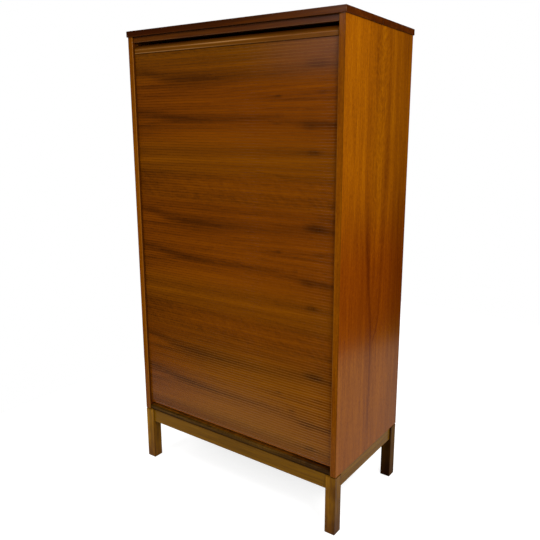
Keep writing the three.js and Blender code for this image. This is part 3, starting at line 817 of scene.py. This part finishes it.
# Marks in one leaf: centre line, half width and strength, each at places along the slats from 0 to 1. Two
# dark flames with small knots cross the leaf, and paler wood lies between them.
DARK_MARKS = [
    ({0: 0.1, 0.08: 0.108, 0.2: 0.14, 0.35: 0.165, 0.5: 0.16, 0.7: 0.146, 0.9: 0.128, 1: 0.122},
     {0: 0.045, 0.15: 0.055, 0.25: 0.08, 0.4: 0.085, 0.55: 0.07, 0.8: 0.05, 1: 0.045},
     {0: 0.5, 0.06: 0.6, 0.18: 0.45, 0.28: 0.5, 0.4: 0.45, 0.55: 0.35, 0.8: 0.3, 1: 0.35}),
    ({0: 0.112, 0.9: 0.105, 1: 0.118}, 0.042, {0: 0, 0.8: 0, 0.88: 0.3, 0.93: 0.35, 0.97: 0.2, 1: 0.1}),
    ({0: 0.198, 0.13: 0.196, 0.3: 0.19, 1: 0.19}, 0.026, {0: 0.36, 0.1: 0.38, 0.2: 0.28, 0.3: 0, 1: 0}),
    ({0: 0.378, 0.12: 0.396, 0.28: 0.425, 0.5: 0.432, 0.75: 0.442, 0.9: 0.46, 1: 0.462},
     {0: 0.046, 0.28: 0.07, 0.5: 0.065, 0.8: 0.05, 0.9: 0.05, 1: 0.045},
     {0: 0.4, 0.12: 0.4, 0.28: 0.35, 0.5: 0.2, 0.8: 0.1, 0.9: 0.15, 1: 0.25}),
    ({0: 0.47, 1: 0.468}, 0.05, {0: 0, 0.8: 0.05, 0.87: 0.3, 0.93: 0.3, 0.97: 0.2, 1: 0.15}),
    ({0: 0.48, 0.12: 0.47, 0.3: 0.455, 1: 0.45}, 0.028,
     {0: 0.42, 0.06: 0.36, 0.16: 0.2, 0.35: 0.1, 1: 0}),
    ({0: 0.38, 1: 0.37}, 0.04, {0: 0.1, 0.06: 0.1, 0.1: 0.05, 0.3: 0, 1: 0}),
    ({0: 0.66, 0.15: 0.655, 0.4: 0.645, 1: 0.64}, {0: 0.05, 1: 0.045},
     {0: 0.35, 0.1: 0.05, 0.3: 0, 0.6: 0, 0.9: 0.15, 1: 0.15}),
    ({0: 0.635, 1: 0.635}, 0.03, {0: 0, 0.84: 0, 0.89: 0.15, 0.93: 0.1, 0.96: 0, 1: 0}),
    ({0: 0.3, 0.6: 0.303, 0.75: 0.295, 1: 0.275}, 0.016,
     {0: 0, 0.55: 0, 0.7: 0.3, 0.745: 0.5, 0.77: 0.2, 1: 0.2}),
    ({0: 0.3, 0.75: 0.315, 1: 0.31}, 0.014, {0: 0, 0.6: 0, 0.8: 0.2, 1: 0.15}),
    ({0: 0.35, 0.6: 0.362, 1: 0.385}, 0.02, {0: 0.2, 0.4: 0.05, 1: 0.05}),
    ({0: 0.81, 1: 0.84}, 0.075, {0: 0.35, 0.12: 0.25, 0.3: 0, 0.8: 0.05, 1: 0.15}),
    ({0: 0.9, 1: 0.9}, 0.07, {0: 0.3, 0.12: 0.1, 0.25: 0, 1: 0}),
    ({0: 0.94, 1: 0.94}, 0.04, {0: 0.15, 0.25: 0.05, 0.4: 0.15, 0.8: 0.1, 1: 0.25}),
    ({0: 0.055, 1: 0.045}, 0.04, {0: 0.15, 0.3: 0.1, 0.7: 0.1, 0.9: 0, 0.93: 0.25, 1: 0.25}),
    ({0: 0.54, 1: 0.54}, 0.04, {0: 0.3, 0.06: 0.3, 0.12: 0.15, 1: 0.1}),
]
PALE_MARKS = [
    ({0: 0.163, 1: 0.158}, 0.024, {0: 0.35, 0.08: 0.35, 0.13: 0.2, 0.16: 0, 1: 0}),
    ({0: 0.442, 0.1: 0.436, 1: 0.44}, 0.024, {0: 0.25, 0.06: 0.35, 0.14: 0.25, 0.19: 0, 1: 0.05}),
    ({0: 0.25, 1: 0.225}, 0.04, {0: 0, 0.25: 0.05, 0.5: 0.15, 0.75: 0.15, 0.95: 0.25, 1: 0}),
    ({0: 0.285, 0.3: 0.285, 0.5: 0.27, 0.75: 0.25, 1: 0.235}, 0.016,
     {0: 0.05, 0.25: 0.3, 0.45: 0.25, 0.75: 0.35, 0.95: 0.3, 1: 0}),
    ({0: 0.32, 0.4: 0.33, 0.6: 0.335, 1: 0.345}, 0.018,
     {0: 0, 0.38: 0, 0.42: 0.15, 0.6: 0.15, 0.75: 0.2, 0.95: 0.15, 1: 0}),
    ({0: 0.32, 1: 0.32}, 0.08, {0: 0, 0.3: 0.15, 0.42: 0.2, 0.6: 0.15, 1: 0.05}),
    ({0: 0.385, 0.4: 0.38, 1: 0.4}, 0.02, {0: 0.05, 0.3: 0.15, 0.5: 0.2, 1: 0.05}),
    ({0: 0.56, 1: 0.545}, 0.085, {0: 0.05, 0.15: 0.45, 0.4: 0.6, 0.75: 0.45, 0.9: 0.25, 1: 0.05}),
    ({0: 0.605, 0.15: 0.602, 0.35: 0.588, 1: 0.592}, 0.022,
     {0: 0.3, 0.2: 0.35, 0.3: 0.25, 0.5: 0.15, 1: 0.3}),
    ({0: 0.73, 0.3: 0.715, 1: 0.7}, 0.045, {0: 0.1, 0.12: 0.45, 0.3: 0.45, 0.5: 0.5, 0.85: 0.3, 1: 0}),
    ({0: 0.79, 0.4: 0.765, 1: 0.76}, 0.022, {0: 0, 0.2: 0.05, 0.4: 0.15, 0.6: 0.1, 1: 0}),
    ({0: 0.906, 1: 0.902}, 0.016, {0: 0, 0.15: 0.15, 0.3: 0.35, 0.8: 0.3, 0.9: 0.15, 1: 0}),
    ({0: 0.99, 1: 0.99}, 0.045, {0: 0, 0.85: 0, 0.9: 0.1, 1: 0}),
    ({0: 0, 1: 0}, 0.035, {0: 0, 0.2: 0.2, 0.85: 0.35, 0.9: 0.1, 1: 0}),
    ({0: 0.085, 1: 0.085}, 0.025, {0: 0, 0.2: 0, 0.5: 0.05, 0.85: 0.15, 0.9: 0.05, 1: 0}),
    ({0: 0.965, 0.5: 0.972, 1: 0.988}, 0.005, {0: 0.3, 0.5: 0.35, 1: 0.3}),
    ({0: 0.718, 0.5: 0.7, 1: 0.685}, 0.005, {0: 0.2, 0.6: 0.3, 1: 0.15}),
    ({0: 0.355, 0.27: 0.372, 0.6: 0.399, 1: 0.42}, 0.005, {0: 0, 0.2: 0.3, 0.6: 0.3, 0.8: 0, 1: 0}),
]
# how far the fibres swing down (under a half) or up (over a half) towards the right, down the leaf
FIBRE_SWING = {0: 0.5, 0.12: 0.65, 0.2: 1, 0.33: 0.95, 0.41: 0.5, 0.45: 0.2, 0.52: 0.35, 0.6: 0.6, 1: 0.5}
# how golden the wood is, down the leaf
GOLDEN_ZONE = {0: 0.45, 0.12: 0.2, 0.4: 0.25, 0.56: 0.45, 0.7: 1, 0.78: 0.95, 0.85: 0.6, 1: 0.55}
# small knots: place along the leaf, place down it, radius in metres, depth
KNOTS = [
    (0.905, 0.104, 0.023, 0.48),
    (0.875, 0.484, 0.016, 0.38),
    (0.893, 0.637, 0.014, 0.46),
    (0.742, 0.29, 0.006, 0.45),
    (0.925, 0.275, 0.012, 0.3),
    (0.64, 0.53, 0.008, 0.3),
    (0.411, 0.326, 0.007, 0.35),
]
KNOT_STRETCH = (0.75, 1.7)  # a knot is drawn out along the slats


def build_leaf_figure_group():
    """The figure of one leaf of the shutter, from a place along the slats and a place down the leaf."""
    inputs = [(name, "Float", None) for name in ("Along", "Down")]
    group, given, result = open_group("leaf_figure", inputs, [("Figure", "Float")])
    along = given["Along"]
    level = given["Down"]
    place = join(along, level)
    sway = stretched_noise(place, (4, 12, 1), 1)
    ragged = stretched_noise(place, (9, 90, 1), 2, 0.6)
    down = add_share(ragged, 0.014, add_share(sway, 0.01, level))
    # growth lines: each is crisp on its upper side and fades below
    wander = stretched_noise(place, (1.7, 7, 1), 1)
    rings = add_share(wander, 2.4, times(level, 19))
    rings = ease_between(reckon("FRACT", rings), 0.05, 0.6, -0.12, 0.04)
    rings = times(rings, add_share(ragged, 1.4, 0.9))
    # slanting flecks ripple the lower part of the leaf
    slant = join(add_share(level, -0.57, along), level)
    flecks = stretched_noise(slant, (36, 18, 1), 2, 0.6)
    rippled = times(flecks, ease_between(level, 0.76, 0.86))
    figure = add_share(rippled, 0.9, rings)
    # fine mottling across the grain, strongest in the knots
    mottling = stretched_noise(place, (150, 26, 1), 1)
    figure = add_share(mottling, 0.4, figure)
    mottle = add_share(mottling, 2.4, 0.7)
    for knot_along, knot_down, radius, depth in KNOTS:
        sideways = times(minus(along, knot_along), KNOT_STRETCH[0] * 2 * slat_end)
        downwards = times(minus(level, knot_down), KNOT_STRETCH[1] * LEAF_HEIGHT)
        away = lay_node(group, "VectorMath", join(sideways, downwards), operation="LENGTH")
        knot = ease_between(away.outputs["Value"], 0.3 * radius, 1.6 * radius, depth, 0)
        figure = minus(figure, times(knot, mottle))
    for mark in PALE_MARKS:
        figure = reckon("ADD", figure, grain_mark(along, down, *mark))
    # the dark marks are made up of thin streaks
    streaks = add_share(stretched_noise(place, (3, 60, 1), 2, 0.6), 0.35, 1)
    for mark in DARK_MARKS:
        figure = minus(figure, times(grain_mark(along, down, *mark), streaks))
    feed(result["Figure"], figure)
    return group


leaf_figure_group = build_leaf_figure_group()

# heights on the shutter between which its colour changes
UPPER_THIRD = (1, 1.2)
FOOT_REFLECTION = (0.44, 0.56)
FOOT_HIGHLIGHT = (0.36, 0.6)
SHADED_BAND_ABOVE_BEND = (0.226, 0.255)
LIT_BEND_BAND = (0.209, 0.224)
# where a slat's painted arris highlight begins and is full, from its middle, as a share of its height
SLAT_HIGHLIGHT_ZONE = (0.35, 0.47)


def build_shutter_veneer():
    """Teak veneer for the slats. Its veneer map stays with each slat as the shutter opens."""
    material, tree, surface = start_material("shutter_veneer")
    x, y, _ = split(lay_node(tree, "UVMap", uv_map="veneer").outputs[0])
    leaves = reckon("DIVIDE", minus(LEAF_TOP, y), LEAF_HEIGHT)
    leaf = reckon("FLOOR", leaves)
    down = minus(leaves, leaf)
    along = add_share(x, 0.5 / slat_end, 0.5)
    figure = lay_group(leaf_figure_group, along, down)["Figure"]
    # the leaves were cut one behind the other, so their fine grain is close but not the same
    swing = minus(follow_curve(down, FIBRE_SWING), 0.5)
    swing = times(swing, ease_between(along, 0.25, 1, 0, 0.1))
    swung = times(reckon("ADD", down, swing), LEAF_HEIGHT)
    in_leaf = join(times(x, 0.5), swung, times(leaf, 0.0006))
    short = times(stretched_noise(in_leaf, (90, 420, 420), 2, 0.7), 0.55)
    marked = reckon("ADD", figure, short)
    timber = place_timber(in_leaf, SHUTTER_TONES, marked, bands=0.45, fibres=0.38, pores=0.6)
    golden = blend_colours(follow_curve(down, GOLDEN_ZONE), (0.97, 0.8, 0.9), CLEAR)
    colour = stain_by(1, timber["Colour"], golden)
    # painted shade: the upper third is a little darker
    colour = stain_between(colour, y, *UPPER_THIRD, CLEAR, (0.92, 0.92, 0.9))
    # painted reflection: the head and the foot are lighter and more golden, most of all right of the middle
    painted_head_reflection = ease_between(y, curtain_head - 0.14, curtain_head - 0.02)
    painted_head_reflection = times(painted_head_reflection, ease_between(along, 0.1, 1, 0.75, 1.1))
    colour = stain_by(painted_head_reflection, colour, (0.98, 1.2, 1))
    reflection_share = follow_curve(along, {0: 0, 0.25: 0.45, 0.5: 0.9, 0.7: 1, 1: 0.4})
    painted_foot_reflection = times(fade_between(y, *FOOT_REFLECTION), reflection_share)
    colour = stain_by(painted_foot_reflection, colour, (1.06, 1.35, 1))
    # painted highlights: the arrises of the slats are paler, most at the right of the head and of the foot
    slats = reckon("DIVIDE", minus(y, curtain_foot), slat_pitch)
    slat = reckon("FLOOR", slats)
    arris = ease_between(how_far(minus(slats, slat), 0.5), *SLAT_HIGHLIGHT_ZONE)
    head_highlight = ease_between(y, curtain_head - 0.12, curtain_head - 0.01, 0.08, 0.8)
    head_highlight = times(head_highlight, ease_between(along, 0.45, 0.95, 0.3, 1))
    foot_highlight = ease_between(y, *FOOT_HIGHLIGHT, 1, 0.04)
    foot_highlight = times(foot_highlight, ease_between(along, 0, 0.5, 0.65, 1))
    worn = times(arris, reckon("MAXIMUM", head_highlight, foot_highlight))
    colour = blend_colours(worn, colour, (0.3, 0.12, 0.02))
    # painted reflection: a pale haze at the right-hand end of the head
    painted_haze = ease_between(y, curtain_head - 0.12, curtain_head - 0.03)
    painted_haze = times(painted_haze, ease_between(along, 0.55, 0.95, 0, 0.5))
    colour = blend_colours(painted_haze, colour, (0.15, 0.052, 0.026))
    # painted shade darkens the slats above the bend, and painted light lifts the paler, redder slats round
    # it
    colour = stain_between(colour, y, *SHADED_BAND_ABOVE_BEND, (0.76, 0.68, 0.55))
    colour = stain_between(colour, y, *LIT_BEND_BAND, (2.2, 1.7, 1))
    # each slat takes the oil a little differently
    chance = lay_node(tree, "TexWhiteNoise", noise_dimensions="1D")
    feed(chance.inputs["W"], slat)
    colour = blend_colours(times(chance.outputs["Value"], 0.06), colour, (0.02, 0.006, 0.001))
    finish_timber(surface, timber, colour, (0.23, 0.17), gloss=0.13)
    return material


shutter_veneer = build_shutter_veneer()


def lay_veneer(faces, veneer_map):
    """Lays the veneer map flat on some faces, in metres across the shutter and up it."""
    for face in faces:
        for loop in face.loops:
            loop[veneer_map].uv = (loop.vert.co.x, loop.vert.co.z)


def lay_slat(bm, veneer_map, foot):
    """One slat, flat in the shutter's plane with its lower edge at foot; its vertices come back."""
    before = set(bm.verts)
    corner = (slat_end, curtain_face + SLAT_THICKNESS, foot + slat_pitch - SLAT_GAP)
    fresh = set(block(bm, (-slat_end, curtain_face, foot), corner))
    long_edges = [
        edge
        for edge in bm.edges
        if all(vert in fresh and vert.co.y < curtain_face + TOUCHING for vert in edge.verts)
        and abs(edge.verts[0].co.x - edge.verts[1].co.x) > slat_end
    ]
    ease(bm, long_edges, SLAT_ARRIS)
    slat = [vert for vert in bm.verts if vert not in before]
    lay_veneer({face for vert in slat for face in vert.link_faces}, veneer_map)
    return slat


def squash_to_sill(piece):
    """Gives the piece a mesh of its own."""
    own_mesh(piece)


def make_curtain():
    """The slats between the lead rail and the lower bend."""
    one = bmesh.new()
    lay_slat(one, one.loops.layers.uv.new("veneer"), curtain_foot + SLAT_GAP / 2)
    pattern = bpy.data.meshes.new("slat_pattern")
    one.to_mesh(pattern)
    one.free()
    bm = bmesh.new()
    laid = bm.loops.layers.uv.new("veneer")
    for number in range(slat_count):
        before = len(bm.verts)
        bm.from_mesh(pattern)
        bm.verts.ensure_lookup_table()
        bmesh.ops.translate(bm, vec=(0, 0, number * slat_pitch), verts=bm.verts[before:])
    lay_veneer(bm.faces, laid)
    bpy.data.meshes.remove(pattern)
    squash_to_sill(set_out(bm, "tambour_slats", shutter_veneer, "carcass", "shutter_teak", *section_names))


make_curtain()
THREAD = 0.0011


def build_canvas():
    """Plain woven canvas, darkened by glue."""
    material, tree, surface = start_material("canvas_cloth")
    place, *apart = read_place(tree)
    threads = [reckon("SINE", times(apart[index], 2 * pi / THREAD)) for index in (0, 2)]
    weave = times(*threads)
    stain = stretched_noise(place, (9, 9, 9), 3)
    tint = add_share(weave, 0.2, reckon("ADD", stain, 0.5))
    colour = blend_colours(tint, (0.16, 0.12, 0.075), (0.34, 0.28, 0.19))
    feed(surface["Base Color"], colour)
    feed(surface["Roughness"], 0.9)
    bump = lay_node(tree, "Bump")
    feed(bump.inputs["Distance"], 0.0002)
    feed(bump.inputs["Height"], weave)
    feed(surface["Normal"], bump.outputs[0])
    return material


canvas_cloth = build_canvas()


def make_canvas():
    """The canvas that the slats are glued to."""
    corner = (-slat_end, curtain_face + SLAT_THICKNESS, curtain_foot)
    bm = start_block(corner, (slat_end, curtain_back, curtain_head))
    canvas = set_out(bm, "tambour_canvas", canvas_cloth, "carcass", "shutter_teak")
    squash_to_sill(canvas)


make_canvas()


def make_bend():
    """The slats that lie round the lower bend and start under the floor, on the last of the canvas."""
    centre = Vector((0, curtain_face + BEND_RADIUS, curtain_foot))
    turn_length = pi / 2 * (BEND_RADIUS - SLAT_THICKNESS)
    bm = bmesh.new()
    veneer_map = bm.loops.layers.uv.new("veneer")
    for number in range(SLATS_PER_SECTION):
        foot = curtain_foot - (number + 1) * slat_pitch + SLAT_GAP / 2
        slat = lay_slat(bm, veneer_map, foot)
        along = curtain_foot - (foot + (slat_pitch - SLAT_GAP) / 2)
        turned = min(along, turn_length)
        angle = turned / turn_length * pi / 2
        bmesh.ops.translate(bm, vec=(0, 0, along), verts=slat)
        bmesh.ops.rotate(bm, cent=centre, matrix=Matrix.Rotation(angle, 3, "X"), verts=slat)
        bmesh.ops.translate(bm, vec=(0, along - turned, 0), verts=slat)
    set_out(bm, "tambour_bend_slats", shutter_veneer, "carcass", "shutter_teak", "tambour_bend")


make_bend()

# Lead rail: a strip of solid teak along the head of the shutter. An upright lip stands under a sloping
# finger pull. The lip is paler in the middle, partly polished by use and partly a painted highlight, and a
# tongue at each end runs in the track.
LEAD_TONES = [(0.046, 0.0135, 0.0004), (0.128, 0.0385, 0.0006), (0.22, 0.078, 0.003)]
LEAD_LIP_HEIGHT = 0.012
LEAD_SLOPE_DEPTH = 0.009
LEAD_END_GAP = 0.003
LEAD_ARRIS = 0.0009
LEAD_LOWER_ARRIS = 0.0003
TONGUE_HEIGHT = 0.02
BARE_AND_LIT_TEAK = (0.36, 0.17, 0.05)


def build_lead_teak():
    """Teak for the lead rail: painted shade up the slope, and a pale lip, partly worn and partly a painted
    highlight.
    """
    material, tree, surface = start_material("lead_rail_teak")
    low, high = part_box("tambour_lead_rail")
    timber = place_timber(grain_position(tree, "X", (5, 3, 1)), LEAD_TONES, bands=0.6, fibres=0.6)
    place, x, y, z = read_place(tree)
    lip = low[2] + LEAD_LIP_HEIGHT
    # painted shade up the slope, under the top rail
    slope_shade = ease_between(z, lip, high[2], 0.1, 0.95)
    colour = stain_by(slope_shade, timber["Colour"], (0.25, 0.2, 0.3))
    # the lip is paler in the middle: partly wear, partly a painted highlight
    from_lip = reckon("ADD", how_far(z, lip), how_far(y, low[1]))
    rub = stretched_noise(place, (14, 90, 90), 2)
    reach = add_share(rub, 0.002, 0.0034)
    along = add_share(x, 0.5 / high[0], 0.5)
    wear_and_highlight = {0: 0.3, 0.25: 0.4, 0.42: 0.9, 0.56: 1, 0.66: 0.5, 0.75: 0.2, 1: 0.12}
    worn = times(follow_curve(along, wear_and_highlight), ease_between(from_lip, 0, reach, 0.85, 0))
    colour = blend_colours(worn, colour, BARE_AND_LIT_TEAK)
    # painted highlight along the foot of the lip, most at the left
    over_foot = minus(z, low[2])
    lip_foot_highlight = follow_curve(along, {0: 0.5, 0.3: 0.55, 0.42: 0.3, 0.6: 0.15, 1: 0})
    lip_foot_highlight = times(fade_between(over_foot, 0.0014, 0.004), lip_foot_highlight)
    colour = blend_colours(lip_foot_highlight, colour, BARE_AND_LIT_TEAK)
    # painted shade along the foot of the lip
    shade = ease_between(over_foot, 0.0002, 0.0012, 0.4, 0)
    colour = blend_colours(shade, colour, DARK_JOINT)
    finish_timber(surface, timber, colour, (0.3, 0.22), gloss=0.09)
    return material


def make_lead_rail():
    """The lead rail and its two tongues."""
    low, high = map(Vector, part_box("tambour_lead_rail"))
    body_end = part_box("side_panel_right")[0][0] - LEAD_END_GAP
    bm = start_block((-body_end, low.y, low.z), (body_end, high.y, high.z))
    # the finger pull: the upper front arris is planed back to a slope
    plane_at = Vector((0, low.y, low.z + LEAD_LIP_HEIGHT))
    slope = Vector((0, -(high.z - plane_at.z), LEAD_SLOPE_DEPTH)).normalized()
    whole = bm.verts[:] + bm.edges[:] + bm.faces[:]
    cut = bmesh.ops.bisect_plane(bm, geom=whole, plane_co=plane_at, plane_no=slope, clear_outer=True)
    bmesh.ops.edgeloop_fill(bm, edges=parts_of(cut["geom_cut"], bmesh.types.BMEdge))
    bmesh.ops.recalc_face_normals(bm, faces=bm.faces)
    foot = edges_where(bm, lambda place: place.z < low.z + TOUCHING)
    ease(bm, [edge for edge in bm.edges if edge not in foot], LEAD_ARRIS)
    ease(bm, edges_where(bm, lambda place: place.z < low.z + TOUCHING), LEAD_LOWER_ARRIS, 2)
    for end in (-1, 1):
        near, far = sorted((end * (body_end - LEAD_END_GAP), end * slat_end))
        block(bm, (near, curtain_face, low.z), (far, curtain_back, low.z + TONGUE_HEIGHT))
    set_out(bm, "tambour_lead_rail_teak", build_lead_teak(), "lead_rail", "rail_teak", "tambour_lead_rail")


make_lead_rail()

# Studio: a pale sheet of paper on the floor, a white background, a large soft lamp at the left front, a
# smaller one high on the right, and a dim room.
PAPER_CORNERS = [
    (-1.15, -0.74), (-0.8, -0.8), (-0.3, -0.8), (0, -0.7), (1.88, -0.7), (0.64, 2.2), (-1.15, 2.2)
]


def build_paper():
    """Pale paper that shows white to the camera, apart from the cabinet's shadow."""
    material, tree, surface = start_material("floor_paper")
    fleck = stretched_noise(read_place(tree)[0], (220, 220, 220), 2)
    colour = blend_colours(reckon("ADD", fleck, 0.5), (0.49, 0.49, 0.485), (0.51, 0.51, 0.505))
    feed(surface["Base Color"], colour)
    feed(surface["Roughness"], 0.9)
    feed(surface["Specular IOR Level"], 0.1)
    feed(surface["Emission Color"], (1, 1, 1, 1))
    seen = lay_node(tree, "LightPath").outputs
    to_camera = times(seen["Is Camera Ray"], 0.75)
    in_gloss = times(seen["Is Glossy Ray"], 0.22)
    feed(surface["Emission Strength"], reckon("MAXIMUM", to_camera, in_gloss))
    return material


def make_floor():
    """The paper that the cabinet stands on."""
    bm = bmesh.new()
    bmesh.ops.contextual_create(bm, geom=[bm.verts.new((*corner, 0)) for corner in PAPER_CORNERS])
    floor = place_mesh(bm, "studio_floor", build_paper())


make_floor()


def make_world():
    """White to the camera; to everything else, a dim room with a soft glow from its ceiling."""
    world = bpy.data.worlds.new("studio")
    world.use_nodes = True
    bpy.context.scene.world = world
    tree = world.node_tree
    background = tree.nodes["Background"]
    seen = lay_node(tree, "LightPath").outputs
    height = split(lay_node(tree, "TexCoord").outputs["Generated"])[2]
    ceiling = ease_between(height, 0.45, 0.9, 0, 0.8)
    fill = times(seen["Is Diffuse Ray"], ease_between(height, -0.2, 0.8, 0.36, 1))
    room = reckon("MAXIMUM", fill, ceiling)
    feed(background.inputs["Color"], (1, 1, 1, 1))
    feed(background.inputs["Strength"], reckon("MAXIMUM", seen["Is Camera Ray"], room))


make_world()


def hang_lamp(name, place, aim, size, watts):
    """A square soft lamp at a place, turned to shine at a point."""
    lamp = bpy.data.lights.new(name, "AREA")
    lamp.shape = "SQUARE"
    lamp.size = size
    lamp.energy = watts
    holder = place_object(name, lamp)
    holder.location = place
    holder.rotation_euler = (Vector(aim) - Vector(place)).to_track_quat("-Z", "Y").to_euler()


hang_lamp("soft_lamp_front", (-0.75, -2.9, 2.5), aim=(0, 0, 0.65), size=1.1, watts=28)
hang_lamp("soft_lamp_right", (1.9, -1.05, 2.05), aim=(0.4, 0, 0.8), size=0.8, watts=30)

# Camera: it stands in front of the right-hand corner, 1.2 m above the floor, and looks slightly down. Its
# lens is shifted a little to the side.
camera_data = bpy.data.cameras.new("camera")
camera_data.sensor_width = 36
camera_data.lens = 39.1
camera_data.shift_x = -0.0691
camera_data.shift_y = -0.0219
camera_data.clip_end = 50
camera = place_object("camera", camera_data)
YAW = 0.5827
PITCH = -0.2109
ROLL = 0.0107
placing = Matrix.Translation((1.1697, -1.5321, 1.1719))
for angle, axis in ((YAW, "Z"), (pi / 2 + PITCH, "X"), (ROLL, "Z")):
    placing = placing @ Matrix.Rotation(angle, 4, axis)
camera.matrix_world = placing
bpy.context.scene.camera = camera
bpy.context.scene.view_settings.view_transform = "Standard"
